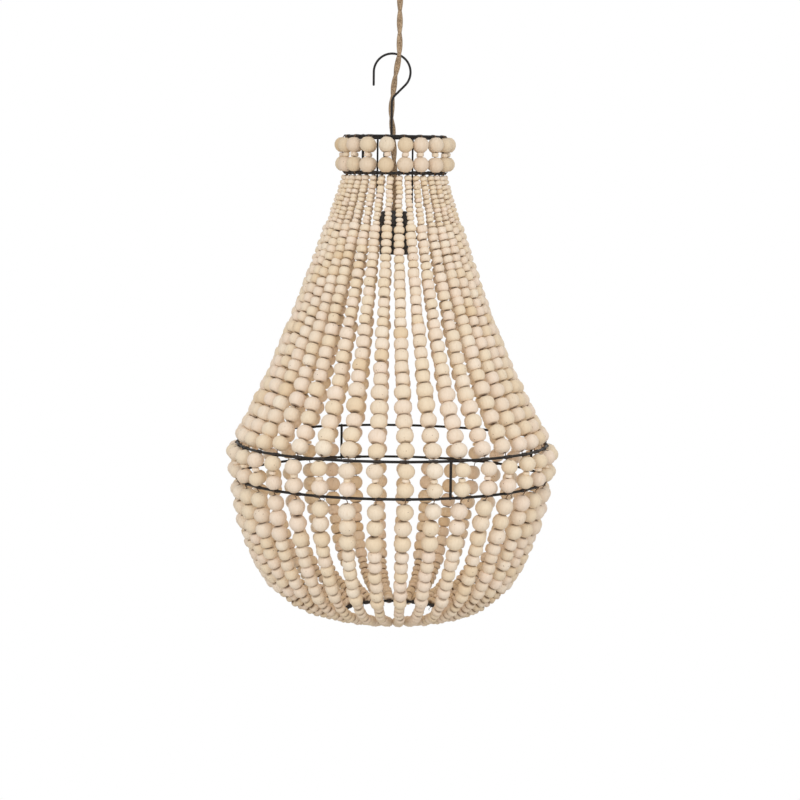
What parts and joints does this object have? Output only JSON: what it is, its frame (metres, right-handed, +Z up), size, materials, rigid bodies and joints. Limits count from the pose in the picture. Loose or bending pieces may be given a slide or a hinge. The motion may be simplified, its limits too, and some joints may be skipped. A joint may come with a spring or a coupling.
{
  "type": "beaded chandelier",
  "caption": "Pear-shaped pendant light of wooden bead strings on wire rings, with a lampholder, hanging hook and supply cord.",
  "frame": {"origin": "saddle of the hanging hook, the inside top of its bend, where the lamp hangs", "axes": "+Z up along the lamp's axis, -Y towards the front as pictured, +X to the right"},
  "size_m": [0.4322, 0.4322, 0.8718],
  "materials": {
    "wood_beads": "unfinished pale wood, matt",
    "painted_wire": "black satin paint",
    "holder_plastic": "black, semi-gloss",
    "white_ceramic": "white glazed ceramic",
    "contact_brass": "plain brass",
    "jute_cord": "twisted flex covered in jute",
    "rose_metal": "black satin paint",
    "zinc_steel": "zinc-plated"
  },
  "bodies": {
    "lamp": {"bead_strand_01": "wood_beads", "bead_strand_02": "wood_beads", "bead_strand_03": "wood_beads", "bead_strand_04": "wood_beads", "bead_strand_05": "wood_beads", "bead_strand_06": "wood_beads", "bead_strand_07": "wood_beads", "bead_strand_08": "wood_beads", "bead_strand_09": "wood_beads", "bead_strand_10": "wood_beads", "bead_strand_11": "wood_beads", "bead_strand_12": "wood_beads", "bead_strand_13": "wood_beads", "bead_strand_14": "wood_beads", "bead_strand_15": "wood_beads", "bead_strand_16": "wood_beads", "bead_strand_17": "wood_beads", "bead_strand_18": "wood_beads", "bead_strand_19": "wood_beads", "bead_strand_20": "wood_beads", "bead_strand_21": "wood_beads", "bead_strand_22": "wood_beads", "bead_strand_23": "wood_beads", "bead_strand_24": "wood_beads", "bead_strand_25": "wood_beads", "bead_strand_26": "wood_beads", "bead_strand_27": "wood_beads", "bead_strand_28": "wood_beads", "bead_strand_29": "wood_beads", "bead_strand_30": "wood_beads", "bead_strand_31": "wood_beads", "bead_strand_32": "wood_beads", "bead_strand_33": "wood_beads", "bead_strand_34": "wood_beads", "bead_strand_35": "wood_beads", "bead_strand_36": "wood_beads", "crown_bead_loop_1": "wood_beads", "crown_bead_loop_2": "wood_beads", "crown_bead_loop_3": "wood_beads", "crown_bead_loop_4": "wood_beads", "crown_bead_loop_5": "wood_beads", "crown_bead_loop_6": "wood_beads", "crown_bead_loop_7": "wood_beads", "crown_bead_loop_8": "wood_beads", "crown_bead_loop_9": "wood_beads", "hanging_hook": "painted_wire", "crown_frame": "painted_wire", "band_frame": "painted_wire", "bottom_ring": "painted_wire", "holder_cradle": "painted_wire", "lampholder_cap": "holder_plastic", "lampholder_skirt": "holder_plastic", "contact_insert": "white_ceramic", "shell_contact": "contact_brass", "supply_cord": "jute_cord", "rose_bracket": "zinc_steel"},
    "shade_ring": {"shade_ring": "holder_plastic"},
    "centre_contact": {"centre_contact": "contact_brass"},
    "rose": {"rose_cup": "rose_metal", "rose_grip": "holder_plastic"}
  },
  "joints": [
    {"name": "shade_ring_turn", "type": "hinge", "parent": "lamp", "child": "shade_ring", "pos_m": [0.005, 0, -0.24], "axis": [0, 0, 1], "continuous": true},
    {"name": "centre_contact_press", "type": "slide", "parent": "lamp", "child": "centre_contact", "axis": [0, 0, 1], "range_m": [0, 0.0015], "stiffness_N_per_m": 800},
    {"name": "rose_slide", "type": "slide", "parent": "lamp", "child": "rose", "axis": [0, 0, -1], "range_m": [0, 0.06]}
  ]
}
